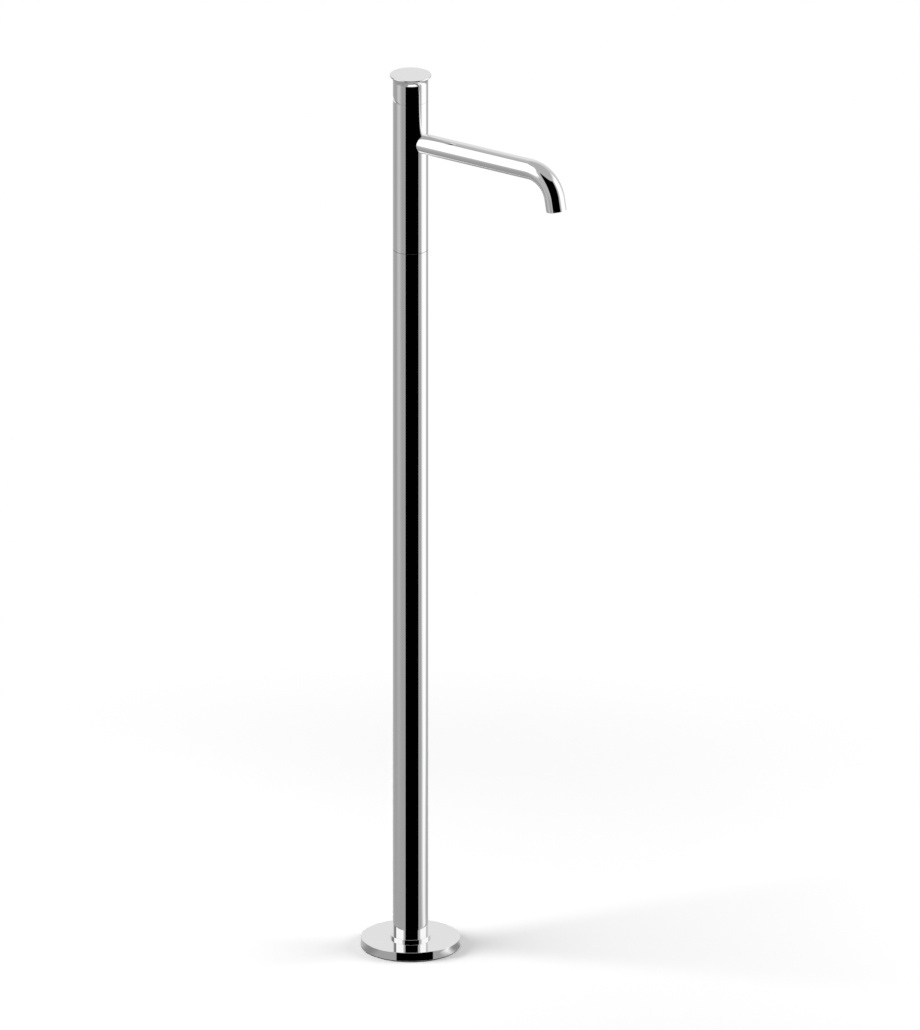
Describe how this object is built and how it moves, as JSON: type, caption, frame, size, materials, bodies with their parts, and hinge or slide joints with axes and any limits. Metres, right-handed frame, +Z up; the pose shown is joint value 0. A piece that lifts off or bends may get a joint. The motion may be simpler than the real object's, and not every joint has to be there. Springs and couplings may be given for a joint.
{
  "type": "floor-standing basin mixer",
  "caption": "Floor-standing basin mixer: slim column on a round flange, turned-down spout, and one handle in the column's top that turns for temperature and tips back for flow.",
  "frame": {"origin": "on the floor, at the centre of the flange and of the floor bolts", "axes": "+Z up along the column, +X along the spout as seen from above, hot inlet at -Y"},
  "size_m": [0.2823, 0.118, 1.1],
  "materials": {
    "chrome": "polished",
    "steel": "machined",
    "brass": "machined",
    "rubber": "matt",
    "hose_jacket": "braided",
    "white_plastic": "moulded",
    "grey_plastic": "moulded",
    "ceramic": "lapped"
  },
  "bodies": {
    "fixed_body": {"floor_gasket": "rubber", "mounting_plate": "steel", "flange_cover": "chrome", "flange_oring": "rubber", "foot_screws": "steel", "inlet_block": "brass", "inlet_strainers": "steel", "check_valves": "white_plastic", "column_tube": "chrome", "hot_hose": "hose_jacket", "cold_hose": "hose_jacket", "hose_ferrules": "steel", "hose_tails": "brass", "hose_washers": "rubber", "joint_sleeve": "brass", "sleeve_orings": "rubber", "body_shell": "chrome", "valve_block": "brass", "spout_tube": "chrome", "spout_bush": "brass", "spout_nipple": "brass", "spout_orings": "rubber", "spout_lock_screw": "steel", "aerator_ring": "brass", "aerator_seal": "rubber", "aerator_body": "white_plastic", "aerator_screen": "white_plastic", "cartridge_base": "grey_plastic", "base_seals": "rubber", "cartridge_housing": "white_plastic", "disc_seals": "rubber", "fixed_disc": "ceramic", "retaining_nut": "brass", "dome_cap": "grey_plastic"},
    "rotor_unit": {"rotor": "white_plastic", "rotor_oring": "rubber", "pivot_pin": "steel"},
    "lever_unit": {"lever_stem": "brass", "handle": "chrome", "handle_screw": "steel", "screw_plug": "chrome"},
    "disc_unit": {"moving_disc": "ceramic", "disc_carrier": "grey_plastic"}
  },
  "joints": [
    {"name": "temperature_turn", "type": "hinge", "parent": "fixed_body", "child": "rotor_unit", "pos_m": [0, 0, 1.068], "axis": [0, 0, 1], "range_deg": [-45, 45]},
    {"name": "flow_tilt", "type": "hinge", "parent": "rotor_unit", "child": "lever_unit", "pos_m": [0, 0, 1.068], "axis": [0, -1, 0], "range_deg": [0, 17]},
    {"name": "disc_slide", "type": "slide", "parent": "rotor_unit", "child": "disc_unit", "axis": [1, 0, 0], "range_m": [0, 0.0033]}
  ],
  "couplings": [
    {"joint": "disc_slide", "follows": "flow_tilt", "m_per_rad": 0.01095}
  ]
}
